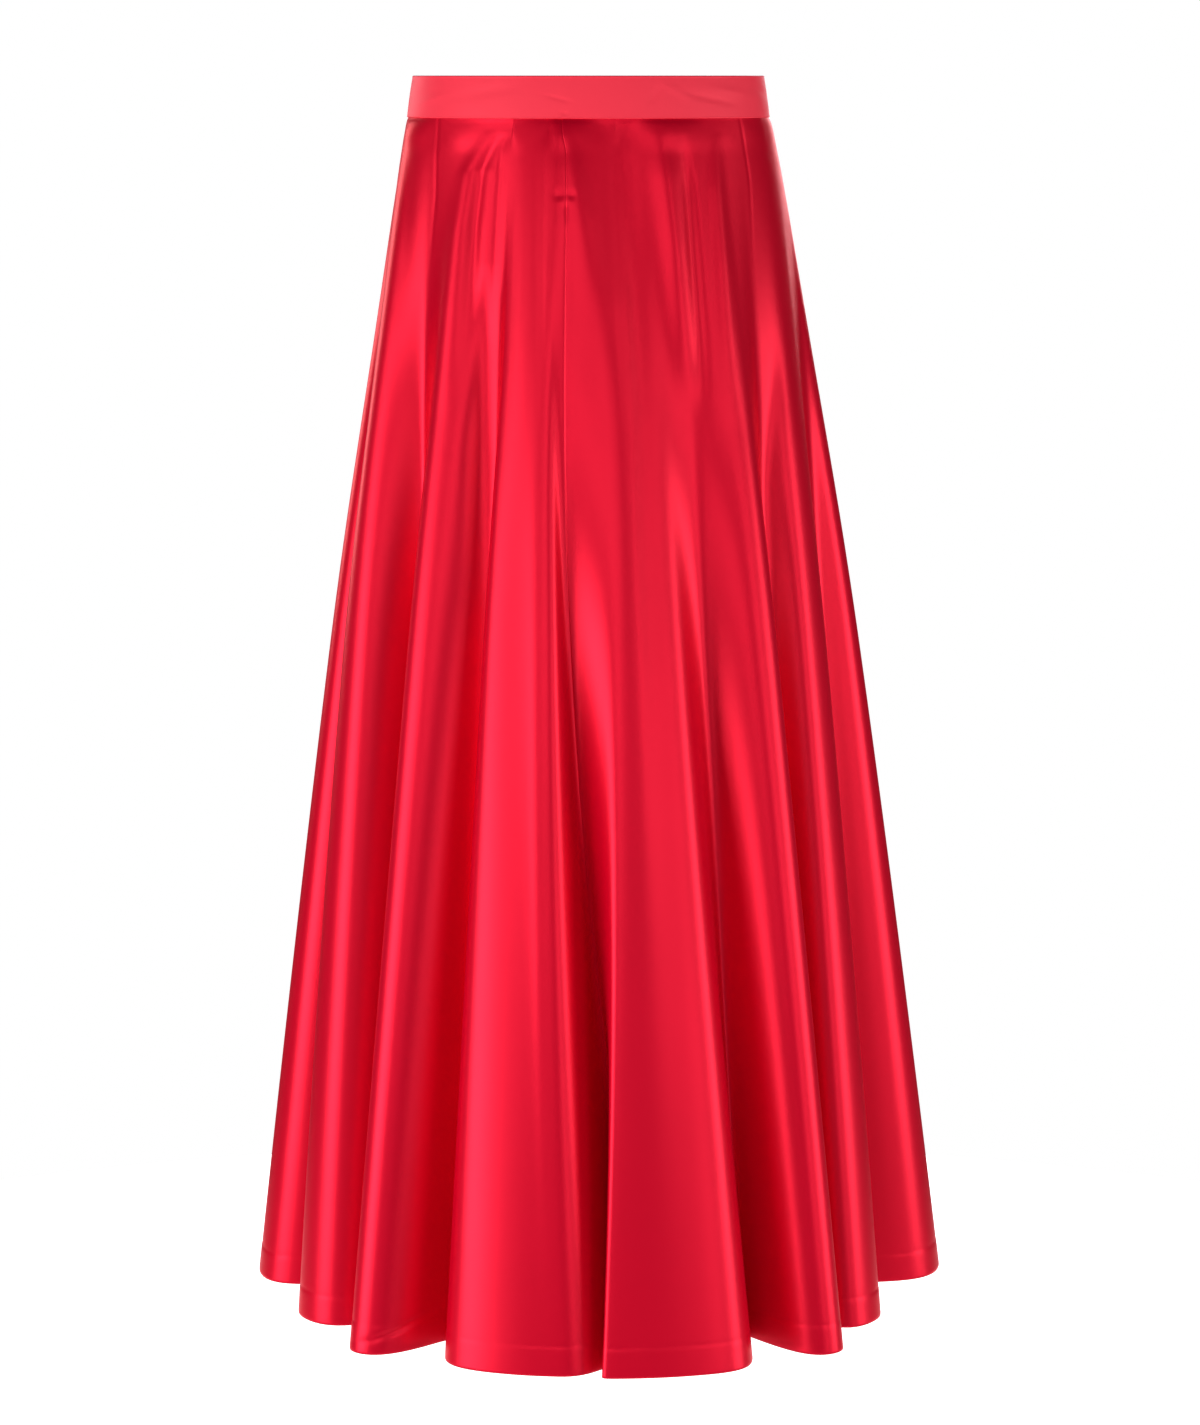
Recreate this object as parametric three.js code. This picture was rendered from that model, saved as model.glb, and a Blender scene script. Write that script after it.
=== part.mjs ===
import * as THREE from 'three';

// A full-length flared skirt of heavy satin, held open as on a body.
// All sizes are in millimetres. The origin is the middle of the waist, half way up the waistband.
// +Z is up, the front faces -Y and the wearer's right side is at -X.

// Waist and length
const waistHalfWidth = 131.2;
const waistHalfDepth = 96;
const bandHeight = 30;
const bandTopIn = 4.4;
const hemHeight = -880;
const hemShift = 8.5;

// How far the hips push the cloth out beyond a straight line from waist to hem
const hipOutSides = 11.6;
const hipOutFront = 4;
const hipHighPoint = 0.62;

// How much broader a crest is than a plain wave, from 0 to 1
const crestBreadth = 0.6;
const evenReach = 20;

// Cloth walls, seams and the turned hem
const clothWall = 1.4;
const seamGap = 0.3;
const hemTurn = 20;
const hemExtraWall = 1.0;
const hemStep = 2;
const bandWall = 2.2;

// Concealed zip behind the centre-back seam
const zipEndShare = 0.24;
const zipColumnsEachSide = 2;
const zipWall = 0.8;

// How finely the solids are divided
const columnsPerFlank = 7;
const bandColumns = 120;

// Each row is the outermost or innermost line of one fold, in order round the skirt.
// hemAngle: direction of the fold at the hem, in degrees, 0 is the front, positive to the wearer's left
// hemReach: distance of the fold from the middle at the hem
// waistAngle: where the fold starts on the oval of the waist, in degrees
// roundness: how broad the cloth turns there
// sway: how far the fold line bows to the wearer's left half way down
// rise: how far the fold line stands out just below the hips
const foldTable = [
  { fold: 'side seam right', hemAngle: -104.4, hemReach: 200, waistAngle: -104.1,
    roundness: 1.2, sway: 0, rise: 0 },
  { fold: 'side flute right', hemAngle: -83.3, hemReach: 262, waistAngle: -100.7,
    roundness: 2.49, sway: 0, rise: -1 },
  { fold: 'first valley right', hemAngle: -69.8, hemReach: 193, waistAngle: -87.1,
    roundness: 1.11, sway: 0, rise: -2 },
  { fold: 'third flute right', hemAngle: -55.4, hemReach: 261, waistAngle: -70.4,
    roundness: 2.58, sway: 0, rise: 6 },
  { fold: 'second valley right', hemAngle: -44.4, hemReach: 185, waistAngle: -55,
    roundness: 0.6, sway: 0, rise: -2 },
  { fold: 'second flute right', hemAngle: -38, hemReach: 282, waistAngle: -42.7,
    roundness: 2.26, sway: 0, rise: -3 },
  { fold: 'third valley right', hemAngle: -28.2, hemReach: 215, waistAngle: -25.7,
    roundness: 0.6, sway: 0, rise: -3 },
  { fold: 'front flute right, outer side', hemAngle: -17.8, hemReach: 274, waistAngle: -22.7,
    roundness: 2.91, sway: -1, rise: -2 },
  { fold: 'front flute right, inner side', hemAngle: -5.2, hemReach: 273, waistAngle: -13,
    roundness: 0.9, sway: -7, rise: 1 },
  { fold: 'centre-front seam', hemAngle: 8.8, hemReach: 215, waistAngle: -8.2,
    roundness: 1.94, sway: -21, rise: 11 },
  { fold: 'front flute left, inner side', hemAngle: 0.8, hemReach: 276, waistAngle: 5.9,
    roundness: 2.35, sway: 11, rise: -4 },
  { fold: 'front flute left, outer side', hemAngle: 18.6, hemReach: 278, waistAngle: 11.7,
    roundness: 1.68, sway: -1, rise: -7 },
  { fold: 'third valley left', hemAngle: 29.3, hemReach: 207, waistAngle: 24.4,
    roundness: 0.6, sway: 0, rise: 7 },
  { fold: 'second flute left', hemAngle: 37, hemReach: 279, waistAngle: 42.4,
    roundness: 2.62, sway: 0, rise: -2 },
  { fold: 'second valley left', hemAngle: 44.1, hemReach: 196, waistAngle: 55.3,
    roundness: 1.33, sway: 0, rise: -2 },
  { fold: 'third flute left', hemAngle: 51.8, hemReach: 252, waistAngle: 71.8,
    roundness: 2.59, sway: 0, rise: -4 },
  { fold: 'first valley left', hemAngle: 68, hemReach: 195, waistAngle: 89.1,
    roundness: 1.26, sway: 0, rise: 1 },
  { fold: 'side flute left', hemAngle: 86.4, hemReach: 260, waistAngle: 95.4,
    roundness: 2.18, sway: 0, rise: -1 },
  { fold: 'side seam left', hemAngle: 104.7, hemReach: 200, waistAngle: 105.9,
    roundness: 1.2, sway: 0, rise: 0 },
  { fold: 'back side flute left', hemAngle: 118, hemReach: 258, waistAngle: 118,
    roundness: 2.2, sway: 0, rise: 0 },
  { fold: 'back valley left', hemAngle: 131, hemReach: 190, waistAngle: 131,
    roundness: 1.2, sway: 0, rise: 0 },
  { fold: 'back flute left', hemAngle: 143, hemReach: 264, waistAngle: 144,
    roundness: 2.3, sway: 0, rise: 0 },
  { fold: 'inner back valley left', hemAngle: 155, hemReach: 186, waistAngle: 156,
    roundness: 1.2, sway: 0, rise: 0 },
  { fold: 'inner back flute left', hemAngle: 167.5, hemReach: 262, waistAngle: 169,
    roundness: 2.3, sway: 0, rise: 0 },
  { fold: 'centre-back seam', hemAngle: 180.5, hemReach: 192, waistAngle: 180,
    roundness: 1.2, sway: 0, rise: 0 },
  { fold: 'inner back flute right', hemAngle: 194, hemReach: 260, waistAngle: 191,
    roundness: 2.3, sway: 0, rise: 0 },
  { fold: 'inner back valley right', hemAngle: 206, hemReach: 190, waistAngle: 204,
    roundness: 1.2, sway: 0, rise: 0 },
  { fold: 'back flute right', hemAngle: 218, hemReach: 265, waistAngle: 217,
    roundness: 2.3, sway: 0, rise: 0 },
  { fold: 'back valley right', hemAngle: 230.5, hemReach: 188, waistAngle: 230,
    roundness: 1.2, sway: 0, rise: 0 },
  { fold: 'back side flute right', hemAngle: 243, hemReach: 257, waistAngle: 243,
    roundness: 2.2, sway: 0, rise: 0 },
];

// The four panels run from one seam of the fold table to the next.
const panelTable = [
  { name: 'front_panel_right', firstSeam: 'side seam right', lastSeam: 'centre-front seam' },
  { name: 'front_panel_left', firstSeam: 'centre-front seam', lastSeam: 'side seam left' },
  { name: 'back_panel_left', firstSeam: 'side seam left', lastSeam: 'centre-back seam' },
  { name: 'back_panel_right', firstSeam: 'centre-back seam', lastSeam: 'side seam right' },
];

// Heights of the rings of a panel, 0 at the band and 1 at the hem
const panelTop = -bandHeight / 2 - seamGap;
const panelDrop = panelTop - hemHeight;
const ringShares = [0, 0.03, 0.08, 0.15, 0.24, 0.34, 0.45, 0.57, 0.69, 0.81, 0.91];
const hemTurnShare = 1 - hemTurn / panelDrop;
const hemStepShare = hemTurnShare + hemStep / panelDrop;

const satin = new THREE.MeshStandardMaterial({ color: 0xd8143a, roughness: 0.35, metalness: 0 });
const bandSatin = new THREE.MeshStandardMaterial({ color: 0xdc2044, roughness: 0.4, metalness: 0 });
const zipTape = new THREE.MeshStandardMaterial({ color: 0xa81028, roughness: 0.8, metalness: 0 });

function radians(degrees) {
  return degrees * Math.PI / 180;
}

function tableRow(index) {
  const count = foldTable.length;
  const turns = Math.floor(index / count);
  const row = foldTable[index - turns * count];
  return {
    hemAngle: row.hemAngle + turns * 360,
    waistAngle: row.waistAngle + turns * 360,
    hemReach: row.hemReach,
    roundness: row.roundness,
    sway: row.sway,
    rise: row.rise,
  };
}

// Smooth curve between two values with the given slopes at its ends
function blend(start, startSlope, end, endSlope, t) {
  const t2 = t * t;
  const t3 = t2 * t;
  const startPart = start * (2 * t3 - 3 * t2 + 1) + startSlope * (t3 - 2 * t2 + t);
  const endPart = end * (3 * t2 - 2 * t3) + endSlope * (t3 - t2);
  return startPart + endPart;
}

function slopeAt(index, column) {
  return (tableRow(index + 1)[column] - tableRow(index - 1)[column]) / 2;
}

function evenStep(t) {
  return (1 - Math.cos(Math.PI * t)) / 2;
}

// Share of the way from a crest to a valley: the crest is broad and its flank steep
function crestStep(t) {
  const late = t * t * t * (10 - 15 * t + 6 * t * t);
  const breadth = crestBreadth * (1 - t);
  return evenStep(t) * (1 - breadth) + late * breadth;
}

// Share of the way from one reach to the next, for a fall or a climb that starts or ends at a crest
function reachStep(fromReach, toReach, t) {
  if (Math.abs(fromReach - toReach) < evenReach) {
    return evenStep(t);
  }
  return fromReach > toReach ? crestStep(t) : 1 - crestStep(1 - t);
}

// Directions and reach of the cloth at a place between two rows of the fold table
function foldAt(place) {
  const index = Math.floor(place);
  const t = place - index;
  const from = tableRow(index);
  const to = tableRow(index + 1);
  const hemSlopeFrom = slopeAt(index, 'hemAngle') * from.roundness;
  const hemSlopeTo = slopeAt(index + 1, 'hemAngle') * to.roundness;
  const waistSlopeFrom = slopeAt(index, 'waistAngle');
  const waistSlopeTo = slopeAt(index + 1, 'waistAngle');
  const reachShare = reachStep(from.hemReach, to.hemReach, t);
  return {
    hem: radians(blend(from.hemAngle, hemSlopeFrom, to.hemAngle, hemSlopeTo, t)),
    waist: radians(blend(from.waistAngle, waistSlopeFrom, to.waistAngle, waistSlopeTo, t)),
    reach: from.hemReach + (to.hemReach - from.hemReach) * reachShare,
    sway: from.sway + (to.sway - from.sway) * evenStep(t),
    rise: from.rise + (to.rise - from.rise) * evenStep(t),
    out: radians(from.hemAngle + (to.hemAngle - from.hemAngle) * evenStep(t)),
  };
}

function hipSwell(share) {
  const eased = Math.pow(Math.min(Math.max(share, 0), 1), hipHighPoint);
  return 4 * eased * (1 - eased);
}

// Middle of the cloth wall. The cloth runs in straight lines from the oval waist to the wavy hem.
function clothPoint(place, share) {
  const fold = foldAt(place);
  const side = Math.sin(fold.waist);
  const front = -Math.cos(fold.waist);
  const waistX = waistHalfWidth * side;
  const waistY = waistHalfDepth * front;
  const hemX = fold.reach * Math.sin(fold.hem) + hemShift;
  const hemY = -fold.reach * Math.cos(fold.hem);
  const swell = hipSwell(share);
  const bow = fold.sway * 4 * share * (1 - share);
  const risen = Math.sqrt(Math.min(Math.max(share, 0), 1));
  const rise = fold.rise * 4 * risen * (1 - risen);
  const hipX = hipOutSides * side * side * side * swell;
  return new THREE.Vector3(
    waistX + (hemX - waistX) * share + hipX + bow + rise * Math.sin(fold.out),
    waistY + (hemY - waistY) * share + hipOutFront * front * swell - rise * Math.cos(fold.out),
    panelTop - panelDrop * share,
  );
}

function clothTangent(place, share) {
  const step = 1e-4;
  return clothPoint(place + step, share).sub(clothPoint(place - step, share)).normalize();
}

function clothNormal(place, share) {
  const step = 1e-4;
  const along = clothTangent(place, share);
  const above = clothPoint(place, Math.max(share - step, 0));
  const below = clothPoint(place, share + step);
  const down = below.sub(above);
  return down.cross(along).normalize();
}

// Closed wall between an outer and an inner grid of points, both given as rows from top to bottom
function wallBetween(outerGrid, innerGrid) {
  const rows = outerGrid.length;
  const columns = outerGrid[0].length;
  const positions = [];
  for (const grid of [outerGrid, innerGrid]) {
    for (const row of grid) {
      for (const point of row) {
        positions.push(point.x, point.y, point.z);
      }
    }
  }
  const outer = (row, column) => row * columns + column;
  const inner = (row, column) => rows * columns + outer(row, column);
  const faces = [];
  const quad = (a, b, c, d) => faces.push(a, b, c, a, c, d);
  for (let row = 0; row < rows - 1; row += 1) {
    for (let column = 0; column < columns - 1; column += 1) {
      quad(outer(row, column), outer(row + 1, column), outer(row + 1, column + 1), outer(row, column + 1));
      quad(inner(row, column), inner(row, column + 1), inner(row + 1, column + 1), inner(row + 1, column));
    }
  }
  for (let column = 0; column < columns - 1; column += 1) {
    const last = rows - 1;
    quad(outer(0, column), outer(0, column + 1), inner(0, column + 1), inner(0, column));
    quad(outer(last, column), inner(last, column), inner(last, column + 1), outer(last, column + 1));
  }
  for (let row = 0; row < rows - 1; row += 1) {
    const last = columns - 1;
    quad(outer(row, 0), inner(row, 0), inner(row + 1, 0), outer(row + 1, 0));
    quad(outer(row, last), outer(row + 1, last), inner(row + 1, last), inner(row, last));
  }
  const geometry = new THREE.BufferGeometry();
  geometry.setAttribute('position', new THREE.Float32BufferAttribute(positions, 3));
  geometry.setIndex(faces);
  geometry.computeVertexNormals();
  return geometry;
}

function namedMesh(name, geometry, material) {
  const mesh = new THREE.Mesh(geometry, material);
  mesh.name = name;
  return mesh;
}

function seamPlace(seamName) {
  return foldTable.findIndex((row) => row.fold === seamName);
}

// One panel of cloth with its hem turned up inside
function panelGeometry(panel) {
  const first = seamPlace(panel.firstSeam);
  let last = seamPlace(panel.lastSeam);
  if (last <= first) {
    last += foldTable.length;
  }
  const columns = (last - first) * columnsPerFlank;
  const shares = [...ringShares, hemTurnShare, hemStepShare, 1];
  const outerGrid = [];
  const innerGrid = [];
  for (const share of shares) {
    const innerDepth = clothWall / 2 + (share >= hemStepShare ? hemExtraWall : 0);
    const outerRow = [];
    const innerRow = [];
    for (let column = 0; column <= columns; column += 1) {
      const place = first + column / columnsPerFlank;
      const middle = clothPoint(place, share);
      if (column === 0) {
        middle.addScaledVector(clothTangent(place, share), seamGap / 2);
      }
      if (column === columns) {
        middle.addScaledVector(clothTangent(place, share), -seamGap / 2);
      }
      const normal = clothNormal(place, share);
      normal.z = 0;
      normal.normalize();
      outerRow.push(middle.clone().addScaledVector(normal, clothWall / 2));
      innerRow.push(middle.clone().addScaledVector(normal, -innerDepth));
    }
    outerGrid.push(outerRow);
    innerGrid.push(innerRow);
  }
  return wallBetween(outerGrid, innerGrid);
}

// How far the band has drawn in at a height, from its lower edge up
function bandLean(height) {
  return bandTopIn * Math.max(height / bandHeight + 0.5, 0);
}

// The band's inside is flush with the inside of the panels below it.
function bandGeometry() {
  const innerOffset = -clothWall / 2;
  const outerOffset = innerOffset + bandWall;
  const backHalfGap = seamGap / waistHalfWidth;
  const outerGrid = [];
  const innerGrid = [];
  for (const height of [bandHeight / 2, -bandHeight / 2]) {
    const lean = bandLean(height);
    const outerRow = [];
    const innerRow = [];
    for (let column = 0; column <= bandColumns; column += 1) {
      const span = 2 * Math.PI - 2 * backHalfGap;
      const angle = -Math.PI + backHalfGap + span * column / bandColumns;
      const middle = new THREE.Vector3(
        waistHalfWidth * Math.sin(angle),
        -waistHalfDepth * Math.cos(angle),
        height,
      );
      const outward = new THREE.Vector3(
        waistHalfDepth * Math.sin(angle),
        -waistHalfWidth * Math.cos(angle),
        0,
      ).normalize();
      outerRow.push(middle.clone().addScaledVector(outward, outerOffset - lean));
      innerRow.push(middle.clone().addScaledVector(outward, innerOffset - lean));
    }
    outerGrid.push(outerRow);
    innerGrid.push(innerRow);
  }
  return wallBetween(outerGrid, innerGrid);
}

// Tape of the closed zip, lying just inside the centre-back seam and the ends of the band.
// It bends on the same rings and columns as the panels, so the gap between them is even.
function zipGeometry() {
  const seam = seamPlace('centre-back seam');
  const outerOffset = -clothWall / 2 - seamGap;
  const innerOffset = outerOffset - zipWall;
  const zipTop = bandHeight / 2 - 1;
  const shares = ringShares.filter((share) => share <= zipEndShare);
  const heights = [zipTop, ...shares.map((share) => panelTop - panelDrop * share)];
  const outerGrid = [];
  const innerGrid = [];
  for (const height of heights) {
    const share = Math.max((panelTop - height) / panelDrop, 0);
    const outerRow = [];
    const innerRow = [];
    for (let column = -zipColumnsEachSide; column <= zipColumnsEachSide; column += 1) {
      const place = seam + column / columnsPerFlank;
      const middle = clothPoint(place, share);
      middle.z = height;
      const normal = clothNormal(place, share);
      normal.z = 0;
      normal.normalize();
      outerRow.push(middle.clone().addScaledVector(normal, outerOffset - bandLean(height)));
      innerRow.push(middle.clone().addScaledVector(normal, innerOffset - bandLean(height)));
    }
    outerGrid.push(outerRow);
    innerGrid.push(innerRow);
  }
  return wallBetween(outerGrid, innerGrid);
}

const skirt = new THREE.Group();
skirt.name = 'flared_satin_skirt';
for (const panel of panelTable) {
  skirt.add(namedMesh(panel.name, panelGeometry(panel), satin));
}
skirt.add(namedMesh('waistband', bandGeometry(), bandSatin));
skirt.add(namedMesh('back_zip', zipGeometry(), zipTape));

export default skirt;
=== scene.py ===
import math
import bpy
import numpy as np
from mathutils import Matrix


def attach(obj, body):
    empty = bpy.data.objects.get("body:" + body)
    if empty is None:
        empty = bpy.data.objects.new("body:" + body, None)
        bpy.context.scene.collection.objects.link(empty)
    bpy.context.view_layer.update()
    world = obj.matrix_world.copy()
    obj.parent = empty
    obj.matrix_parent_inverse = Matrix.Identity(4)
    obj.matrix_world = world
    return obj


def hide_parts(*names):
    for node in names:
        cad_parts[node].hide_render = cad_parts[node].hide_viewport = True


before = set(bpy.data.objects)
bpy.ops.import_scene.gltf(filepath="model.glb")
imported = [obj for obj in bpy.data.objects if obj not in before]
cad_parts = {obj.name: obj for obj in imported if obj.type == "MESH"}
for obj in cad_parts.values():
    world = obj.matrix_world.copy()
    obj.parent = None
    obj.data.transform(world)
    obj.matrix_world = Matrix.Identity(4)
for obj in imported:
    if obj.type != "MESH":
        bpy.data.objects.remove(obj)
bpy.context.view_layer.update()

bpy.context.scene.view_settings.view_transform = "Standard"
bpy.context.scene.view_settings.gamma = 0.88

# The camera stands level with the waistband and looks a little down, as the photo does.
photoView = {
    "distance": 2.8,
    "sideways": 0.0085,
    "height": 0.015,
    "downTilt": 9.548,
    "lens": 95.66,
    "upShift": 0.0,
}


def makeCamera(view):
    cameraData = bpy.data.cameras.new("photoCamera")
    cameraData.lens = view["lens"]
    cameraData.sensor_fit = "AUTO"
    cameraData.sensor_width = 36.0
    cameraData.shift_y = view["upShift"]
    cameraData.dof.use_dof = False
    camera = bpy.data.objects.new("photoCamera", cameraData)
    camera.location = (view["sideways"], -view["distance"], view["height"])
    camera.rotation_euler = (math.radians(90 - view["downTilt"]), 0, 0)
    bpy.context.scene.collection.objects.link(camera)
    bpy.context.scene.camera = camera


makeCamera(photoView)
print("camera set")

# The skirt's shape, the same as the CAD's, in metres
skirtShape = {
    "waistHalfWidth": 0.1312,
    "waistHalfDepth": 0.096,
    "bandHeight": 0.030,
    "bandTopIn": 0.0044,
    "hemHeight": -0.880,
    "hemShift": 0.0085,
    "hipOutSides": 0.0116,
    "hipOutFront": 0.004,
    "hipHighPoint": 0.62,
    "seamGap": 0.0003,
    "crestBreadth": 0.6,
    "evenReach": 0.02,
    "calmBelowBand": 0.6,
    "calm": 0.16,
    "calmFrom": 0.03,
    "calmLessBy": 0.45,
    "frontSeamCrisp": 0.5,
    "frontSeamWidth": 0.7,
}
panelTop = -skirtShape["bandHeight"] / 2 - skirtShape["seamGap"]
panelDrop = -skirtShape["bandHeight"] / 2 - skirtShape["hemHeight"]

# Each row is one line of a fold, from waist to hem, in order round the skirt:
# name, angle at the hem, reach at the hem, angle at the waist, how broadly it turns,
# how far it bows sideways half way down and how far it stands out below the hips
foldTable = [
    ("side seam right", -104.4, 0.200, -104.1, 1.2, 0, 0),
    ("side flute right", -83.3, 0.262, -100.7, 2.49, 0, -0.001),
    ("first valley right", -69.8, 0.193, -87.1, 1.11, 0, -0.002),
    ("third flute right", -55.4, 0.261, -70.4, 2.58, 0, 0.006),
    ("second valley right", -44.4, 0.185, -55, 0.6, 0, -0.002),
    ("second flute right", -38, 0.282, -42.7, 2.26, 0, -0.003),
    ("third valley right", -28.2, 0.215, -25.7, 0.6, 0, -0.003),
    ("front flute right, outer side", -17.8, 0.274, -22.7, 2.91, -0.001, -0.002),
    ("front flute right, inner side", -5.2, 0.273, -13, 0.9, -0.007, 0.001),
    ("centre-front seam", 8.8, 0.215, -8.2, 1.94, -0.021, 0.011),
    ("front flute left, inner side", 0.8, 0.276, 5.9, 2.35, 0.011, -0.004),
    ("front flute left, outer side", 18.6, 0.278, 11.7, 1.68, -0.001, -0.007),
    ("third valley left", 29.3, 0.207, 24.4, 0.6, 0, 0.007),
    ("second flute left", 37, 0.279, 42.4, 2.62, 0, -0.002),
    ("second valley left", 44.1, 0.196, 55.3, 1.33, 0, -0.002),
    ("third flute left", 51.8, 0.252, 71.8, 2.59, 0, -0.004),
    ("first valley left", 68, 0.195, 89.1, 1.26, 0, 0.001),
    ("side flute left", 86.4, 0.260, 95.4, 2.18, 0, -0.001),
    ("side seam left", 104.7, 0.200, 105.9, 1.2, 0, 0),
    ("back side flute left", 118, 0.258, 118, 2.2, 0, 0),
    ("back valley left", 131, 0.190, 131, 1.2, 0, 0),
    ("back flute left", 143, 0.264, 144, 2.3, 0, 0),
    ("inner back valley left", 155, 0.186, 156, 1.2, 0, 0),
    ("inner back flute left", 167.5, 0.262, 169, 2.3, 0, 0),
    ("centre-back seam", 180.5, 0.192, 180, 1.2, 0, 0),
    ("inner back flute right", 194, 0.260, 191, 2.3, 0, 0),
    ("inner back valley right", 206, 0.190, 204, 1.2, 0, 0),
    ("back flute right", 218, 0.265, 217, 2.3, 0, 0),
    ("back valley right", 230.5, 0.188, 230, 1.2, 0, 0),
    ("back side flute right", 243, 0.257, 243, 2.2, 0, 0),
]
foldNames = [row[0] for row in foldTable]
foldValues = np.array([row[1:] for row in foldTable], float)


def foldColumn(index, column):
    count = len(foldTable)
    value = foldValues[np.mod(index, count), column]
    if column in (0, 2):
        value = value + 360.0 * np.floor_divide(index, count)
    return value


def blendValues(start, startSlope, end, endSlope, t):
    startPart = start * (2 * t**3 - 3 * t**2 + 1) + startSlope * (t**3 - 2 * t**2 + t)
    return startPart + end * (3 * t**2 - 2 * t**3) + endSlope * (t**3 - t**2)


def columnSlope(index, column):
    return (foldColumn(index + 1, column) - foldColumn(index - 1, column)) / 2


def hipSwell(share):
    eased = np.clip(share, 0, 1) ** skirtShape["hipHighPoint"]
    return 4 * eased * (1 - eased)


def smoothStep(low, high, value):
    t = np.clip((value - low) / (high - low), 0.0, 1.0)
    return t * t * (3 - 2 * t)


# Share of the way from a crest to a valley: the crest is broad and its flank steep
def crestStep(t):
    even = (1 - np.cos(np.pi * t)) / 2
    late = t**3 * (10 - 15 * t + 6 * t**2)
    breadth = skirtShape["crestBreadth"] * (1 - t)
    return even * (1 - breadth) + late * breadth


# Middle of the folded cloth at a place between fold lines and at a share of the way down
def foldPoint(place, share):
    place, share = np.broadcast_arrays(np.asarray(place, float), np.asarray(share, float))
    index = np.floor(place).astype(int)
    t = place - index
    hemStart = columnSlope(index, 0) * foldColumn(index, 3)
    hemEnd = columnSlope(index + 1, 0) * foldColumn(index + 1, 3)
    hemAngle = np.radians(blendValues(
        foldColumn(index, 0), hemStart, foldColumn(index + 1, 0), hemEnd, t))
    waistAngle = np.radians(blendValues(
        foldColumn(index, 2), columnSlope(index, 2),
        foldColumn(index + 1, 2), columnSlope(index + 1, 2), t))
    evenStep = (1 - np.cos(np.pi * t)) / 2
    startReach, endReach = foldColumn(index, 1), foldColumn(index + 1, 1)
    reachStep = np.where(startReach > endReach, crestStep(t), 1 - crestStep(1 - t))
    similar = np.abs(startReach - endReach) < skirtShape["evenReach"]
    reachStep = np.where(similar, evenStep, reachStep)
    reach = startReach * (1 - reachStep) + endReach * reachStep
    side, front = np.sin(waistAngle), -np.cos(waistAngle)
    swell = hipSwell(share)
    hemX = reach * np.sin(hemAngle) + skirtShape["hemShift"]
    hemY = -reach * np.cos(hemAngle)
    waistX = skirtShape["waistHalfWidth"] * side
    waistY = skirtShape["waistHalfDepth"] * front
    bow = foldColumn(index, 4) * (1 - evenStep) + foldColumn(index + 1, 4) * evenStep
    x = waistX + (hemX - waistX) * share + skirtShape["hipOutSides"] * side**3 * swell
    x = x + bow * 4 * share * (1 - share)
    y = waistY + (hemY - waistY) * share + skirtShape["hipOutFront"] * front * swell
    rise = foldColumn(index, 5) * (1 - evenStep) + foldColumn(index + 1, 5) * evenStep
    outAngle = np.radians(
        foldColumn(index, 0) * (1 - evenStep) + foldColumn(index + 1, 0) * evenStep)
    risen = np.sqrt(np.clip(share, 0, 1))
    rise = rise * 4 * risen * (1 - risen)
    x = x + rise * np.sin(outAngle)
    y = y - rise * np.cos(outAngle)
    z = panelTop + (skirtShape["hemHeight"] - panelTop) * share
    return np.stack([x, y, z], -1)


def seamPlace(name):
    return foldNames.index(name)


def bell(distance, width):
    return np.exp(-(distance / width) ** 2)


# The cloth hangs calmer than its fold lines, most of all over the hips
calmWeights = ((-1, 0.1), (-0.5, 0.25), (0, 0.3), (0.5, 0.25), (1, 0.1))


def clothPoint(place, share):
    overHips = 1 - smoothStep(0.0, skirtShape["calmLessBy"], share)
    calm = skirtShape["calmBelowBand"] * overHips + skirtShape["calm"]
    calm = calm * smoothStep(0.0, skirtShape["calmFrom"], share)
    nearSeam = bell(place - seamPlace("centre-front seam"), skirtShape["frontSeamWidth"])
    calm = calm * (1 - skirtShape["frontSeamCrisp"] * nearSeam * smoothStep(0.3, 0.7, share))
    point = 0
    for offset, weight in calmWeights:
        point = point + weight * foldPoint(place + offset * calm, share)
    return point


def unit(vectors):
    return vectors / (np.linalg.norm(vectors, axis=-1, keepdims=True) + 1e-12)


# Direction along the cloth, direction out of it and how many metres one fold step is
def clothFrame(place, share):
    step = 1e-4
    along = (clothPoint(place + step, share) - clothPoint(place - step, share)) / (2 * step)
    down = clothPoint(place, share + step) - clothPoint(place, share - step)
    return unit(along), unit(np.cross(down, along)), np.linalg.norm(along, axis=-1)


# Gentle waves that never repeat, the same each run
def softNoise(u, v, seed, octaves=3):
    generator = np.random.default_rng(seed)
    total = np.zeros(np.broadcast(u, v).shape)
    for octave in range(octaves):
        for _ in range(3):
            fu, fv = generator.normal(0, 1.0, 2) * 2.0**octave
            phase = generator.uniform(0, 2 * math.pi)
            total = total + np.sin(fu * u + fv * v + phase) / (3 * 2.0**octave)
    return total


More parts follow.
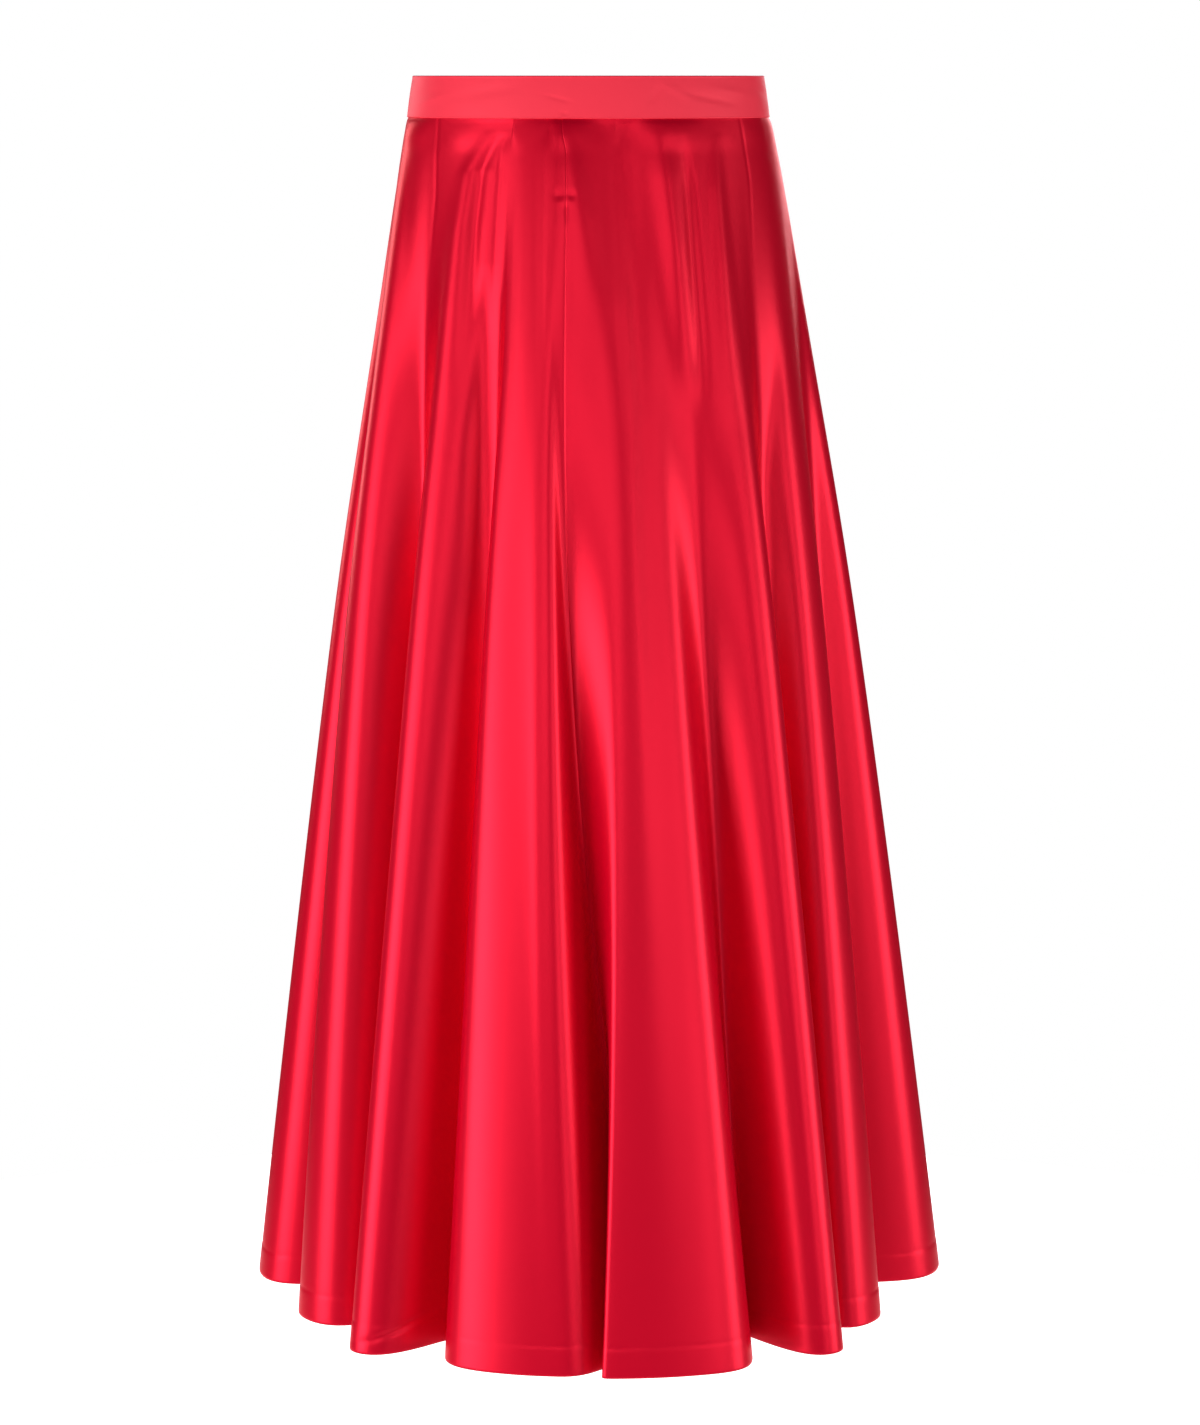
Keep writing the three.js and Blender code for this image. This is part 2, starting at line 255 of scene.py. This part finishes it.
# A grid of points becomes one smooth sheet; its UV map is the cloth's flat size in metres
def meshPiece(name, grid, uvGrid, materials, thickness=None):
    rows, columns = grid.shape[:2]
    vertices = grid.reshape(-1, 3)
    row, column = np.meshgrid(np.arange(rows - 1), np.arange(columns - 1), indexing="ij")
    corner = (row * columns + column).ravel()
    faces = np.stack([corner, corner + columns, corner + columns + 1, corner + 1], -1)
    mesh = bpy.data.meshes.new(name)
    mesh.vertices.add(len(vertices))
    mesh.vertices.foreach_set("co", vertices.ravel())
    mesh.loops.add(faces.size)
    mesh.loops.foreach_set("vertex_index", faces.ravel())
    mesh.polygons.add(len(faces))
    mesh.polygons.foreach_set("loop_start", np.arange(len(faces)) * 4)
    mesh.polygons.foreach_set("use_smooth", np.ones(len(faces), bool))
    uvLayer = mesh.uv_layers.new(name="clothSize")
    uvLayer.data.foreach_set("uv", uvGrid.reshape(-1, 2)[faces.ravel()].ravel())
    mesh.update(calc_edges=True)
    mesh.validate()
    for material in materials:
        mesh.materials.append(material)
    piece = bpy.data.objects.new(name, mesh)
    bpy.context.scene.collection.objects.link(piece)
    if thickness:
        solid = piece.modifiers.new("clothThickness", "SOLIDIFY")
        solid.thickness = thickness
        solid.offset = 0
        solid.use_even_offset = False
        solid.use_rim = True
        if len(materials) > 1:
            solid.material_offset = 1
    return piece


satinLook = {
    "bright": (0.75, 0.0, 0.033, 1),
    "deep": (0.69, 0.0, 0.029, 1),
    "reverse": (0.52, 0.004, 0.030, 1),
    "roughness": (0.34, 0.41),
    "threadSize": 0.00035,
    "threadDrawnOut": 0.22,
    "threadHeight": 0.0001,
    "cloudsEachMetre": 9.0,
    "sheen": 0.0,
    "sheenRoughness": 0.4,
    "lustre": 0.32,
    "gloss": 1.0,
    "glossTint": (1.0, 0.26, 0.30, 1),
}


def satinMaterial(name, look, colourPair, roughPair, weaveDepth):
    material = bpy.data.materials.new(name)
    material.use_nodes = True
    nodes, links = material.node_tree.nodes, material.node_tree.links
    nodes.clear()
    output = nodes.new("ShaderNodeOutputMaterial")
    shader = nodes.new("ShaderNodeBsdfPrincipled")
    links.new(shader.outputs["BSDF"], output.inputs["Surface"])
    shader.inputs["Sheen Weight"].default_value = look["sheen"]
    shader.inputs["Sheen Roughness"].default_value = look["sheenRoughness"]
    shader.inputs["Metallic"].default_value = look["lustre"]
    shader.inputs["Specular IOR Level"].default_value = look["gloss"]
    shader.inputs["Specular Tint"].default_value = look["glossTint"]

    uv = nodes.new("ShaderNodeUVMap")
    uv.uv_map = "clothSize"
    cloud = nodes.new("ShaderNodeTexNoise")
    cloud.inputs["Scale"].default_value = look["cloudsEachMetre"]
    cloud.inputs["Detail"].default_value = 3.0
    links.new(uv.outputs["UV"], cloud.inputs["Vector"])
    colour = nodes.new("ShaderNodeMix")
    colour.data_type = "RGBA"
    colour.inputs[6].default_value = colourPair[0]
    colour.inputs[7].default_value = colourPair[1]
    links.new(cloud.outputs["Fac"], colour.inputs[0])
    links.new(colour.outputs[2], shader.inputs["Base Color"])

    # The long threads of the satin are grains drawn out down the cloth.
    stretch = nodes.new("ShaderNodeMapping")
    across, along = 1 / look["threadSize"], look["threadDrawnOut"] / look["threadSize"]
    stretch.inputs["Scale"].default_value = (across, along, 1)
    links.new(uv.outputs["UV"], stretch.inputs["Vector"])
    floats = nodes.new("ShaderNodeTexNoise")
    floats.inputs["Scale"].default_value = 1.0
    floats.inputs["Detail"].default_value = 1.0
    links.new(stretch.outputs["Vector"], floats.inputs["Vector"])
    rough = nodes.new("ShaderNodeMapRange")
    rough.inputs["To Min"].default_value = roughPair[0]
    rough.inputs["To Max"].default_value = roughPair[1]
    links.new(floats.outputs["Fac"], rough.inputs["Value"])
    links.new(rough.outputs["Result"], shader.inputs["Roughness"])
    weave = nodes.new("ShaderNodeBump")
    weave.inputs["Strength"].default_value = weaveDepth
    weave.inputs["Distance"].default_value = look["threadHeight"]
    links.new(floats.outputs["Fac"], weave.inputs["Height"])
    links.new(weave.outputs["Normal"], shader.inputs["Normal"])
    return material


redSatin = satinMaterial(
    "redSatin", satinLook, (satinLook["deep"], satinLook["bright"]), satinLook["roughness"], 0.35)
satinReverse = satinMaterial(
    "satinReverse", satinLook, (satinLook["reverse"], satinLook["deep"]), (0.62, 0.75), 0.6)
# The band's base colour is painted highlight: the pale pink of the satin's sheen, put all round
# so that the band looks evenly bright. Its gloss is softer and has no lustre.
bandPaintedSheenLook = dict(
    satinLook, bright=(1.0, 0.060, 0.105, 1), deep=(1.0, 0.050, 0.092, 1), sheen=0.12, lustre=0.0)
bandSatinPaintedSheen = satinMaterial(
    "bandSatinPaintedSheen", bandPaintedSheenLook, (bandPaintedSheenLook["deep"], bandPaintedSheenLook["bright"]), (0.5, 0.6), 0.5)
print("materials made")

# One panel of cloth: its seams are turned in and its hem is turned up inside.
panelCut = {
    "columnsPerFold": 24,
    "topRows": 61,
    "tuckedIntoBand": 0.002,
    "middleRows": 105,
    "hemRows": 22,
    "clothThickness": 0.0008,
    "seamSide": 0.00006,
    "seamAllowance": (0.0004, 0.0014, 0.0040, 0.0080),
    "seamRoll": 0.0011,
    "seamSink": 0.00012,
    "hemTurn": 0.020,
    "hemInset": 0.0012,
    "turnedRows": 8,
    "topRowsTo": 0.14,
    "hemRowsFrom": 1.3,
    "seamCloser": 0.35,
    "hemStitch": 0.009,
    "hemStitchDepth": 0.00022,
    "hemStitchWidth": 0.0014,
    "hemFuller": 0.00018,
    "sagDepth": 0.0005,
    "cutLonger": 1.02,
}
panelTable = [
    ("front_panel_right", "side seam right", "centre-front seam"),
    ("front_panel_left", "centre-front seam", "side seam left"),
    ("back_panel_left", "side seam left", "centre-back seam"),
    ("back_panel_right", "centre-back seam", "side seam right"),
]

# Soft troughs (minus) and ridges (plus) pressed into the cloth, in millimetres.
# Each is a line of points: fold place, share of the way down, half width, height
smallFolds = {
    "dark strand inside the second flute right": [
        (5.85, 0.012, 4, 0), (5.46, 0.042, 5, -2.2), (5.40, 0.085, 5, -2.8),
        (5.42, 0.145, 6, -2.4), (5.38, 0.24, 7, 0)],
    "hook of the second flute right": [
        (5.60, 0.010, 6, 0), (5.18, 0.045, 7, 1.6), (5.06, 0.09, 7, 2.0), (5.04, 0.15, 8, 1.6),
        (5.04, 0.24, 8, 0)],
    "valley beside the front flute right": [
        (5.72, 0.12, 6, 0), (5.74, 0.18, 10, -3.5), (5.76, 0.27, 12, -4.5), (5.80, 0.38, 14, 0)],
    "fold line of the second flute right": [
        (4.03, 0.0, 1.5, -0.3), (4.20, 0.06, 1.5, -0.35), (4.12, 0.13, 2, 0)],
    "fold line of the front flute right": [
        (6.02, 0.012, 1.6, 0), (5.98, 0.04, 1.6, -0.5), (5.94, 0.09, 2, -0.5),
        (5.92, 0.16, 2.5, 0)],
    "ridge from the apex of the seam": [
        (9.04, 0.010, 6, 0), (9.16, 0.04, 9, 1.6), (9.40, 0.08, 11, 2.2), (9.75, 0.15, 14, 2.0),
        (10.0, 0.25, 12, 0)],
    "ridge beside the first strand left": [
        (11.83, 0.010, 6, 0), (11.87, 0.045, 8, 2.2), (11.93, 0.10, 8, 2.6),
        (11.97, 0.17, 8, 1.8), (12.03, 0.235, 6, 0)],
    "first dark strand left": [
        (12.30, 0.014, 4, 0), (12.32, 0.055, 5, -2.4), (12.31, 0.11, 5, -2.8),
        (12.30, 0.175, 5, -2.2), (12.27, 0.24, 5, 0)],
    "second bright strand left": [
        (13.10, 0.012, 5, 0), (12.96, 0.055, 6, 2.0), (12.90, 0.115, 7, 2.6),
        (12.84, 0.17, 8, 2.0), (12.78, 0.25, 9, 0)],
    "fold line of the second flute left": [
        (14.02, 0.0, 1.5, -0.3), (14.15, 0.05, 1.5, -0.4), (14.04, 0.12, 2, 0)],
    "small trough at the right hip": [
        (3.25, 0.03, 6, 0), (3.30, 0.07, 7, -0.8), (3.35, 0.12, 8, -0.8), (3.40, 0.17, 8, 0)],
    "small trough at the left hip": [
        (14.7, 0.16, 8, 0), (14.45, 0.23, 9, -1.6), (14.1, 0.30, 9, -1.4), (13.8, 0.38, 8, 0)],
    "back ridge from the apex of the seam": [
        (24.0, 0.012, 7, 0), (23.9, 0.05, 9, 1.4), (23.6, 0.10, 11, 1.8), (23.4, 0.19, 12, 0)],
    "back hook right": [
        (26.4, 0.010, 6, 0), (26.1, 0.045, 7, -1.8), (26.0, 0.10, 7, -2.2), (26.0, 0.20, 8, 0)],
    "back hook left": [
        (21.3, 0.012, 6, 0), (21.6, 0.05, 7, 1.8), (21.7, 0.12, 8, 2.2), (21.7, 0.23, 9, 0)],
    "back dark strand left": [
        (20.1, 0.014, 4, 0), (20.2, 0.06, 5, -1.8), (20.2, 0.13, 6, -2.0), (20.2, 0.22, 6, 0)],
    "back trough right": [
        (28.1, 0.04, 8, 0), (28.2, 0.11, 9, -1.4), (28.1, 0.20, 10, -1.2), (28.0, 0.30, 9, 0)],
    "hem flick of the second flute right": [
        (5.75, 0.965, 9, 0), (5.35, 0.982, 7, -1.6), (4.95, 0.995, 6, 0)],
}
# The pucker and the small bump on the centre-front seam
frontSeam = {
    "puckerShare": 0.066,
    "puckerDepth": 0.0007,
    "dimpleAside": 0.0042,
    "dimpleAbove": 0.0040,
    "dimpleWidth": 0.0028,
    "slitWidth": 0.0016,
    "bumpShare": 0.237,
    "bumpHeight": 0.0006,
    "bumpWidth": 0.0030,
}


def smallFoldHeight(points, place, share, metric):
    line = np.array(points, float)
    order = np.argsort(line[:, 1])
    line = line[order]
    linePlace = np.interp(share, line[:, 1], line[:, 0])
    width = np.interp(share, line[:, 1], line[:, 2]) / 1000
    low, high = line[0, 1], line[-1, 1]
    height = np.zeros(share.shape)
    inside = (share >= low) & (share <= high)
    dense = np.linspace(low, high, 200)
    rough = np.interp(dense, line[:, 1], line[:, 3])
    spread = np.hanning(25) / np.hanning(25).sum()
    soft = np.convolve(np.pad(rough, len(spread) // 2, mode="edge"), spread, "valid")
    height[inside] = np.interp(share[inside], dense, soft) / 1000
    return height * bell((place - linePlace) * metric, width)


def frontSeamDetail(place, share, metric):
    across = (place - seamPlace("centre-front seam")) * metric
    below = (share - frontSeam["puckerShare"]) * panelDrop
    depth = frontSeam["puckerDepth"]
    aside = np.abs(across) - frontSeam["dimpleAside"]
    dimples = bell(np.hypot(aside, below + frontSeam["dimpleAbove"]), frontSeam["dimpleWidth"])
    out = -depth * dimples
    out = out + 0.35 * depth * bell(across, 0.005) * bell(below, 0.0020)
    slit = smoothStep(0.0, 0.003, below) * (1 - smoothStep(0.005, 0.018, below))
    out = out - 0.7 * depth * slit * np.exp(-np.abs(across) / frontSeam["slitWidth"])
    belowBump = (share - frontSeam["bumpShare"]) * panelDrop
    bump = bell(np.hypot(across, belowBump), frontSeam["bumpWidth"])
    return out + frontSeam["bumpHeight"] * bump


def surfaceDetail(place, share, metric, cut):
    out = np.zeros(place.shape)
    for points in smallFolds.values():
        out = out + smallFoldHeight(points, place, share, metric)
    out = out + frontSeamDetail(place, share, metric)
    aboveHem = (1 - share) * panelDrop
    hemLine = cut["hemTurn"]
    stitch = 0.6 + 0.4 * np.sin(2 * math.pi * place * metric / cut["hemStitch"])
    out = out - cut["hemStitchDepth"] * bell(aboveHem - hemLine, cut["hemStitchWidth"]) * stitch
    out = out + cut["hemFuller"] * (1 - smoothStep(hemLine - 0.002, hemLine + 0.001, aboveHem))
    sag = softNoise(place * 3.1, share * 2.0, 5)
    return out + cut["sagDepth"] * sag * smoothStep(0.02, 0.2, share)


# Shares of the way down for each row of points, and how far inside the cloth the row lies
def panelRows(cut):
    turn = cut["hemTurn"] / panelDrop
    tucked = -cut["tuckedIntoBand"] / panelDrop
    hemStart = 1 - cut["hemRowsFrom"] * turn
    top = np.linspace(tucked, cut["topRowsTo"], cut["topRows"], endpoint=False)
    middle = np.linspace(cut["topRowsTo"], hemStart, cut["middleRows"], endpoint=False)
    hem = np.linspace(hemStart, 1, cut["hemRows"])
    turned = np.linspace(1 - cut["clothThickness"] / panelDrop, 1 - turn, cut["turnedRows"])
    shares = np.concatenate([top, middle, hem, [1.0], turned])
    flat = np.zeros(len(top) + len(middle) + len(hem))
    inside = np.full(cut["turnedRows"], cut["hemInset"])
    return shares, np.concatenate([flat, [cut["hemInset"] * 0.5], inside])


def panelPiece(name, firstSeam, lastSeam, cut):
    first, last = seamPlace(firstSeam), seamPlace(lastSeam)
    if last <= first:
        last += len(foldTable)
    count = (last - first) * cut["columnsPerFold"]
    t = np.linspace(0, 1, count + 1)
    squeeze = cut["seamCloser"] / (last - first)
    places = first + (last - first) * (t - squeeze * np.sin(2 * np.pi * t) / (2 * np.pi))
    shares, insets = panelRows(cut)
    allowance = list(cut["seamAllowance"])
    columnPlaces = np.concatenate([
        np.full(len(allowance), first), places, np.full(len(allowance), last)])
    columnInsets = np.concatenate([allowance[::-1], np.zeros(count + 1), allowance])
    place, share = np.meshgrid(columnPlaces, shares)
    point = clothPoint(place, share)
    along, outward, metric = clothFrame(place, share)
    fromFirst = (place - first) * metric
    fromLast = (last - place) * metric
    fromSeam = np.minimum(fromFirst, fromLast)
    seamPush = np.clip(cut["seamSide"] - fromSeam, 0, None)
    point += along * (np.where(fromFirst < fromLast, 1, -1) * seamPush)[..., None]
    out = surfaceDetail(place, share, metric, cut)
    out = out - cut["seamSink"] * bell(fromSeam, cut["seamRoll"])
    out = out - insets[:, None] - columnInsets[None, :]
    point += outward * out[..., None]
    wide = np.linalg.norm(np.diff(point[len(shares) // 2], axis=0), axis=1)
    u = np.concatenate([[0], np.cumsum(wide)])
    v = -share * (skirtShape["bandHeight"] / 2 - skirtShape["hemHeight"])
    uvGrid = np.stack([np.broadcast_to(u, place.shape), v + insets[:, None] * 3], -1)
    piece = meshPiece(name + "_cloth", point, uvGrid, [redSatin, satinReverse],
                      thickness=cut["clothThickness"])
    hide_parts(name)
    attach(piece, "root")
    return piece


for panelName, firstSeam, lastSeam in panelTable:
    panelPiece(panelName, firstSeam, lastSeam, panelCut)
print("panels made")

# The stiffened waistband, one strip folded over at the top
bandCut = {
    "columns": 600,
    "outerRows": 29,
    "innerOffset": -0.0007,
    "outerOffset": 0.0015,
    "edgeRound": 0.0011,
    "crown": 0.0003,
    "backGap": 0.0003,
    "flatLength": 0.715,
    "flatWidth": 0.062,
}


def bandProfile(cut):
    half = skirtShape["bandHeight"] / 2
    r = cut["edgeRound"]
    inner, outer = cut["innerOffset"], cut["outerOffset"]
    middle = (inner + outer) / 2
    profile = []
    for height in np.linspace(-half + r, half - r, cut["outerRows"]):
        rise = cut["crown"] * (1 - (height / half) ** 2)
        profile.append((outer + rise - cut["crown"], height))
    for turn in np.linspace(0, math.pi, 9)[1:-1]:
        profile.append((middle + r * math.cos(turn), half - r + r * math.sin(turn)))
    for height in np.linspace(half - r, -half + r, 9):
        profile.append((inner, height))
    for turn in np.linspace(math.pi, 2 * math.pi, 9)[1:-1]:
        profile.append((middle + r * math.cos(turn), -half + r + r * math.sin(turn)))
    profile.append(profile[0])
    return np.array(profile)


# Soft creases of the band, in millimetres: how far round from the centre front, height,
# half length, half height, tilt in degrees and depth
bandCreases = {
    "fold over the seam": (-21, -1, 9, 1.5, -14, -0.40),
    "dent at the lower edge": (-17, -11, 2.5, 1.5, 0, -0.45),
    "first slant": (48, 1, 8, 2.6, 50, -0.35),
    "second slant": (66, 4, 12, 3.0, -24, 0.35),
    "long trough": (92, -1, 22, 2.6, -10, -0.45),
    "long ridge": (112, 4, 20, 3.0, -8, 0.35),
    "soft hollow right": (-72, 4, 22, 4.0, 8, -0.30),
    "right side slant": (-128, -2, 16, 3.0, 12, 0.35),
    "left side slant": (158, 2, 16, 3.0, -12, -0.35),
    "back slant right": (-205, 3, 20, 3.0, 10, -0.40),
    "back ridge right": (-290, -3, 18, 3.0, -9, 0.35),
    "back slant left": (240, -2, 20, 3.0, 9, -0.40),
    "back ridge left": (315, 4, 18, 3.0, -12, 0.35),
}


def bandCreaseHeight(around, height):
    out = np.zeros(np.broadcast(around, height).shape)
    for middle, level, halfLength, halfHeight, tilt, depth in bandCreases.values():
        turn = math.radians(tilt)
        sideways, upward = around * 1000 - middle, height * 1000 - level
        alongCrease = sideways * math.cos(turn) + upward * math.sin(turn)
        acrossCrease = upward * math.cos(turn) - sideways * math.sin(turn)
        out = out + depth / 1000 * bell(alongCrease, halfLength) * bell(acrossCrease, halfHeight)
    return out


def bandPiece(cut):
    gap = cut["backGap"] / skirtShape["waistHalfWidth"]
    angle = np.linspace(-math.pi + gap, math.pi - gap, cut["columns"])
    profile = bandProfile(cut)
    outwardX = skirtShape["waistHalfDepth"] * np.sin(angle)
    outwardY = -skirtShape["waistHalfWidth"] * np.cos(angle)
    size = np.hypot(outwardX, outwardY)
    baseX = skirtShape["waistHalfWidth"] * np.sin(angle)
    baseY = -skirtShape["waistHalfDepth"] * np.cos(angle)
    lean = skirtShape["bandTopIn"] * (profile[:, 1] / skirtShape["bandHeight"] + 0.5)
    along = np.concatenate([[0], np.cumsum(np.hypot(np.diff(baseX), np.diff(baseY)))])
    height = profile[:, 1][:, None] + 0 * angle[None]
    outer = np.where(profile[:, 0] > 0, 1.0, 0.0)[:, None]
    crease = bandCreaseHeight((along - along[-1] / 2)[None, :], height) * outer
    offset = (profile[:, 0] - lean)[:, None] + crease
    x = baseX + outwardX / size * offset
    y = baseY + outwardY / size * offset
    points = np.stack([x, y, height], -1)
    around = np.concatenate([[0], np.cumsum(np.linalg.norm(np.diff(profile, axis=0), axis=1))])
    uvGrid = np.stack(np.broadcast_arrays(along[None, :], around[:, None]), -1)
    piece = meshPiece("waistband_cloth", points[:, ::-1], uvGrid[:, ::-1], [bandSatinPaintedSheen])
    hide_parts("waistband")
    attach(piece, "root")
    return piece


bandPiece(bandCut)
print("waistband made")

# The concealed zip inside the centre-back seam: woven tape and a closed row of teeth
zipLook = {
    "tape": (0.36, 0.004, 0.022, 1),
    "tapeRib": (0.27, 0.002, 0.016, 1),
    "ribsEachMetre": 900.0,
    "teeth": (0.42, 0.006, 0.030, 1),
    "toothPitch": 0.0015,
    "toothSize": (0.0034, 0.0010, 0.0009),
    "toothShift": 0.0007,
    "behindCloth": 0.0021,
    "endShare": 0.232,
}


def ribbedMaterial(name, colour, ribColour, ribsEachMetre, roughness):
    material = bpy.data.materials.new(name)
    material.use_nodes = True
    nodes, links = material.node_tree.nodes, material.node_tree.links
    shader = nodes["Principled BSDF"]
    shader.inputs["Roughness"].default_value = roughness
    where = nodes.new("ShaderNodeTexCoord")
    ribs = nodes.new("ShaderNodeTexWave")
    ribs.bands_direction = "Z"
    ribs.inputs["Scale"].default_value = ribsEachMetre / 20
    ribs.inputs["Distortion"].default_value = 0.6
    links.new(where.outputs["Object"], ribs.inputs["Vector"])
    colourMix = nodes.new("ShaderNodeMix")
    colourMix.data_type = "RGBA"
    colourMix.inputs[6].default_value = ribColour
    colourMix.inputs[7].default_value = colour
    links.new(ribs.outputs["Fac"], colourMix.inputs[0])
    links.new(colourMix.outputs[2], shader.inputs["Base Color"])
    bump = nodes.new("ShaderNodeBump")
    bump.inputs["Strength"].default_value = 0.5
    bump.inputs["Distance"].default_value = 0.0001
    links.new(ribs.outputs["Fac"], bump.inputs["Height"])
    links.new(bump.outputs["Normal"], shader.inputs["Normal"])
    return material


def zipTeeth(look, material):
    seam = seamPlace("centre-back seam")
    count = int(look["endShare"] * panelDrop / look["toothPitch"])
    shares = (np.arange(count) + 2) * look["toothPitch"] / panelDrop
    along, outward, _ = clothFrame(np.full(count, float(seam)), shares)
    shift = np.where(np.arange(count) % 2 == 0, 1, -1) * look["toothShift"]
    middles = foldPoint(float(seam), shares) - outward * look["behindCloth"]
    middles = middles + along * shift[:, None]
    up = np.cross(outward, along)
    halfSizes = np.array(look["toothSize"]) / 2
    corners = np.array([(x, z, y) for x in (-1, 1) for z in (-1, 1) for y in (-1, 1)])
    axes = np.stack([along * halfSizes[0], up * halfSizes[1], outward * halfSizes[2]], 1)
    vertices = (middles[:, None] + np.einsum("kc,ncd->nkd", corners, axes)).reshape(-1, 3)
    box = np.array([
        (0, 1, 3, 2), (4, 6, 7, 5), (0, 4, 5, 1), (2, 3, 7, 6), (0, 2, 6, 4), (1, 5, 7, 3)])
    faces = (box[None] + 8 * np.arange(count)[:, None, None]).reshape(-1, 4)
    mesh = bpy.data.meshes.new("back_zip_teeth")
    mesh.from_pydata(vertices.tolist(), [], faces.tolist())
    mesh.update()
    mesh.materials.append(material)
    piece = bpy.data.objects.new("back_zip_teeth", mesh)
    bpy.context.scene.collection.objects.link(piece)
    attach(piece, "root")
    return piece


zipTape = ribbedMaterial(
    "zipTape", zipLook["tape"], zipLook["tapeRib"], zipLook["ribsEachMetre"], 0.8)
zipCoil = ribbedMaterial(
    "zipCoil", zipLook["teeth"], zipLook["tape"], zipLook["ribsEachMetre"], 0.35)
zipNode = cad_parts["back_zip"]
if not zipNode.material_slots:
    zipNode.data.materials.append(zipTape)
for materialSlot in zipNode.material_slots:
    materialSlot.material = zipTape
zipTeeth(zipLook, zipCoil)
print("zip made")

studio = {
    "world": 0.05,
    "floorHeight": -1.25,
    "floorRadius": 1.6,
}
# Name, place, point aimed at, width, height and power of each soft light
softboxTable = [
    ("leftSoftbox", (-2.35, -1.60, -0.40), (0, 0, -0.45), 1.9, 1.8, 64.0),
    ("rightSoftbox", (2.75, -0.80, -0.40), (0, 0, -0.45), 1.3, 1.5, 35.0),
    ("frontRightSoftbox", (1.75, -2.20, 0.0), (0, 0, -0.45), 0.8, 1.6, 14.0),
    ("frontSoftbox", (-0.35, -3.10, 0.60), (0, 0, -0.60), 1.6, 1.2, 19.0),
    ("backSoftbox", (0.80, 2.80, 0.50), (0, 0, -0.45), 1.6, 1.4, 30.0),
    ("backLeftSoftbox", (-1.90, 2.00, 0.20), (0, 0, -0.45), 1.0, 1.4, 15.0),
]


def softbox(name, place, aim, width, height, power):
    lightData = bpy.data.lights.new(name, "AREA")
    lightData.shape = "RECTANGLE"
    lightData.size = width
    lightData.size_y = height
    lightData.energy = power
    light = bpy.data.objects.new(name, lightData)
    light.location = place
    direction = np.array(aim, float) - np.array(place, float)
    flat = math.hypot(direction[0], direction[1])
    light.rotation_euler = (math.atan2(flat, -direction[2]), 0,
                            math.atan2(direction[1], direction[0]) - math.pi / 2)
    bpy.context.scene.collection.objects.link(light)
    return light


for row in softboxTable:
    softbox(*row)


# The backdrop looks white, but only a little light comes from it.
def makeWorld(strength):
    world = bpy.data.worlds.new("paleStudio")
    world.use_nodes = True
    nodes, links = world.node_tree.nodes, world.node_tree.links
    ambient = nodes["Background"]
    ambient.inputs["Color"].default_value = (1, 1, 1, 1)
    ambient.inputs["Strength"].default_value = strength
    backdrop = nodes.new("ShaderNodeBackground")
    backdrop.inputs["Color"].default_value = (1, 1, 1, 1)
    rays = nodes.new("ShaderNodeLightPath")
    choose = nodes.new("ShaderNodeMixShader")
    links.new(rays.outputs["Is Camera Ray"], choose.inputs[0])
    links.new(ambient.outputs[0], choose.inputs[1])
    links.new(backdrop.outputs[0], choose.inputs[2])
    links.new(choose.outputs[0], nodes["World Output"].inputs["Surface"])
    bpy.context.scene.world = world


makeWorld(studio["world"])


def makeFloor(height, radius):
    material = bpy.data.materials.new("paleFloor")
    material.use_nodes = True
    nodes, links = material.node_tree.nodes, material.node_tree.links
    shader = nodes["Principled BSDF"]
    shader.inputs["Base Color"].default_value = (0.9, 0.9, 0.9, 1)
    shader.inputs["Roughness"].default_value = 0.9
    shader.inputs["Emission Color"].default_value = (1, 1, 1, 1)
    where = nodes.new("ShaderNodeNewGeometry")
    split = nodes.new("ShaderNodeSeparateXYZ")
    glow = nodes.new("ShaderNodeMapRange")
    glow.inputs["From Min"].default_value = 0.0
    glow.inputs["From Max"].default_value = 0.6
    glow.inputs["To Min"].default_value = 0.25
    glow.inputs["To Max"].default_value = 1.0
    links.new(where.outputs["Position"], split.inputs["Vector"])
    links.new(split.outputs["Y"], glow.inputs["Value"])
    links.new(glow.outputs["Result"], shader.inputs["Emission Strength"])
    mesh = bpy.data.meshes.new("studioFloor")
    corners = [(radius * math.cos(turn), radius * math.sin(turn), height)
               for turn in np.linspace(0, 2 * math.pi, 97)[:-1]]
    mesh.from_pydata(corners, [], [list(range(len(corners)))])
    mesh.materials.append(material)
    floor = bpy.data.objects.new("studioFloor", mesh)
    bpy.context.scene.collection.objects.link(floor)


makeFloor(studio["floorHeight"], studio["floorRadius"])
print("studio set")
